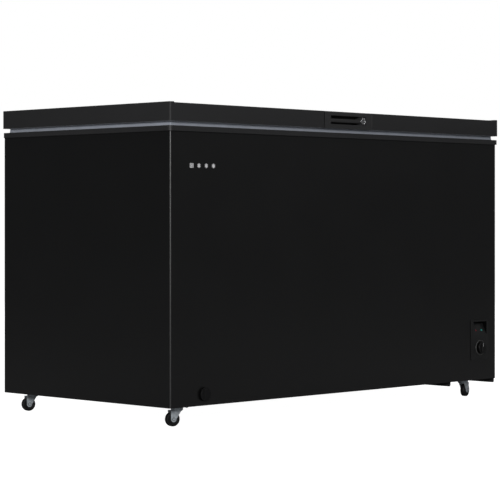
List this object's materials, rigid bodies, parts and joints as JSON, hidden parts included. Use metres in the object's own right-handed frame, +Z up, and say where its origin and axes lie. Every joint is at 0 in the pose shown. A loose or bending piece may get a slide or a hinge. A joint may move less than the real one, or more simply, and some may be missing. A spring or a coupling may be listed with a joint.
{
  "type": "chest freezer",
  "caption": "Chest freezer with a steel cabinet, rear-hinged insulated lid, recessed handle with lock, front control panel, drain, hanging baskets and swivel casters.",
  "frame": {"origin": "on the floor under the middle of the whole freezer, lid, hinges and knob included", "axes": "+X along the front to the right, +Y from the front to the back, +Z up"},
  "size_m": [1.39, 0.7232, 0.85],
  "materials": {
    "charcoal_steel": "satin",
    "lid_steel": "satin",
    "panel_plastic": "fine grain",
    "back_steel": "satin",
    "black_trim": "fine grain",
    "handle_plastic": "fine grain",
    "knob_plastic": "fine grain",
    "foam": "foamed",
    "liner_metal": "stucco embossed",
    "lid_inner": "semi gloss",
    "gasket_grey": "matt",
    "zinc_steel": "zinc plated",
    "caster_zinc": "zinc plated",
    "caster_tread": "matt",
    "compressor_paint": "gloss",
    "black_rubber": "matt",
    "black_plastic": "matt",
    "drain_white": "matt",
    "copper": "drawn",
    "tube_steel": "matt",
    "lamp_green": "clear",
    "lamp_red": "clear",
    "lock_chrome": "polished",
    "badge_metal": "satin",
    "basket_wire": "plastic coated"
  },
  "bodies": {
    "cabinet": {"outer_wrap": "charcoal_steel", "back_panel": "back_steel", "bottom_panel": "back_steel", "foam_insulation": "foam", "liner_wall": "liner_metal", "liner_floor": "liner_metal", "top_collar": "black_trim", "badge": "badge_metal", "compressor_base_plate": "back_steel", "compressor": "compressor_paint", "compressor_feet": "black_rubber", "relay_cover": "black_plastic", "filter_drier": "copper", "refrigerant_pipes": "copper", "evaporator_coil": "copper", "condenser_coil": "tube_steel", "side_grille": "black_trim", "rear_cover": "back_steel", "cover_screws": "zinc_steel", "cord_inlet": "black_rubber", "control_panel": "panel_plastic", "thermostat_body": "black_plastic", "power_lamp": "lamp_green", "alarm_lamp": "lamp_red", "drain_pipe": "drain_white", "hinge_base_left": "zinc_steel", "hinge_base_right": "zinc_steel", "hinge_cover_left": "black_trim", "hinge_cover_right": "black_trim", "hinge_pins": "zinc_steel", "hinge_springs": "zinc_steel", "caster_plate_front_left": "caster_zinc", "caster_plate_rear_left": "caster_zinc", "caster_plate_front_right": "caster_zinc", "caster_plate_rear_right": "caster_zinc"},
    "lid": {"lid_skin": "lid_steel", "lid_liner": "lid_inner", "lid_foam": "foam", "lid_gasket": "gasket_grey", "handle_insert": "handle_plastic", "hinge_arm_left": "zinc_steel", "hinge_arm_right": "zinc_steel"},
    "lock": {"lock_cylinder": "lock_chrome"},
    "knob": {"thermostat_knob": "knob_plastic"},
    "drain_cap": {"drain_cap": "knob_plastic"},
    "drain_stopper": {"drain_stopper": "black_rubber"},
    "basket_left": {"basket_left": "basket_wire"},
    "basket_right": {"basket_right": "basket_wire"},
    "fork_front_left": {"caster_fork_front_left": "caster_zinc", "caster_axle_front_left": "caster_zinc"},
    "wheel_front_left": {"caster_wheel_front_left": "caster_tread"},
    "fork_rear_left": {"caster_fork_rear_left": "caster_zinc", "caster_axle_rear_left": "caster_zinc"},
    "wheel_rear_left": {"caster_wheel_rear_left": "caster_tread"},
    "fork_front_right": {"caster_fork_front_right": "caster_zinc", "caster_axle_front_right": "caster_zinc"},
    "wheel_front_right": {"caster_wheel_front_right": "caster_tread"},
    "fork_rear_right": {"caster_fork_rear_right": "caster_zinc", "caster_axle_rear_right": "caster_zinc"},
    "wheel_rear_right": {"caster_wheel_rear_right": "caster_tread"}
  },
  "joints": [
    {"name": "lid_hinge", "type": "hinge", "parent": "cabinet", "child": "lid", "pos_m": [0, 0.35365, 0.806], "axis": [-1, 0, 0], "range_deg": [0, 80]},
    {"name": "lock_turn", "type": "hinge", "parent": "lid", "child": "lock", "pos_m": [0.064, -0.35085, 0.82425], "axis": [0, -1, 0], "range_deg": [-90, 0]},
    {"name": "knob_turn", "type": "hinge", "parent": "cabinet", "child": "knob", "pos_m": [0.608, -0.34635, 0.151], "axis": [0, -1, 0], "range_deg": [-150, 150]},
    {"name": "drain_cap_pull", "type": "slide", "parent": "cabinet", "child": "drain_cap", "axis": [0, -1, 0], "range_m": [0, 0.03]},
    {"name": "drain_stopper_lift", "type": "slide", "parent": "cabinet", "child": "drain_stopper", "axis": [0, 0, 1], "range_m": [0, 0.06]},
    {"name": "basket_left_slide", "type": "slide", "parent": "cabinet", "child": "basket_left", "axis": [1, 0, 0], "range_m": [0, 0.3]},
    {"name": "basket_right_slide", "type": "slide", "parent": "cabinet", "child": "basket_right", "axis": [-1, 0, 0], "range_m": [0, 0.3]},
    {"name": "front_left_swivel", "type": "hinge", "parent": "cabinet", "child": "fork_front_left", "pos_m": [-0.624, -0.30135, 0.053], "axis": [0, 0, 1], "continuous": true},
    {"name": "front_left_roll", "type": "hinge", "parent": "fork_front_left", "child": "wheel_front_left", "pos_m": [-0.63696, -0.29724, 0.01925], "axis": [0.3024, 0.9532, 0], "continuous": true},
    {"name": "rear_left_swivel", "type": "hinge", "parent": "cabinet", "child": "fork_rear_left", "pos_m": [-0.624, 0.29465, 0.053], "axis": [0, 0, 1], "continuous": true},
    {"name": "rear_left_roll", "type": "hinge", "parent": "fork_rear_left", "child": "wheel_rear_left", "pos_m": [-0.63696, 0.29876, 0.01925], "axis": [0.3024, 0.9532, 0], "continuous": true},
    {"name": "front_right_swivel", "type": "hinge", "parent": "cabinet", "child": "fork_front_right", "pos_m": [0.583, -0.30135, 0.053], "axis": [0, 0, 1], "continuous": true},
    {"name": "front_right_roll", "type": "hinge", "parent": "fork_front_right", "child": "wheel_front_right", "pos_m": [0.59628, -0.29841, 0.01925], "axis": [0.2164, -0.9763, 0], "continuous": true},
    {"name": "rear_right_swivel", "type": "hinge", "parent": "cabinet", "child": "fork_rear_right", "pos_m": [0.583, 0.29465, 0.053], "axis": [0, 0, 1], "continuous": true},
    {"name": "rear_right_roll", "type": "hinge", "parent": "fork_rear_right", "child": "wheel_rear_right", "pos_m": [0.59478, 0.28785, 0.01925], "axis": [-0.5, -0.866, 0], "continuous": true}
  ]
}
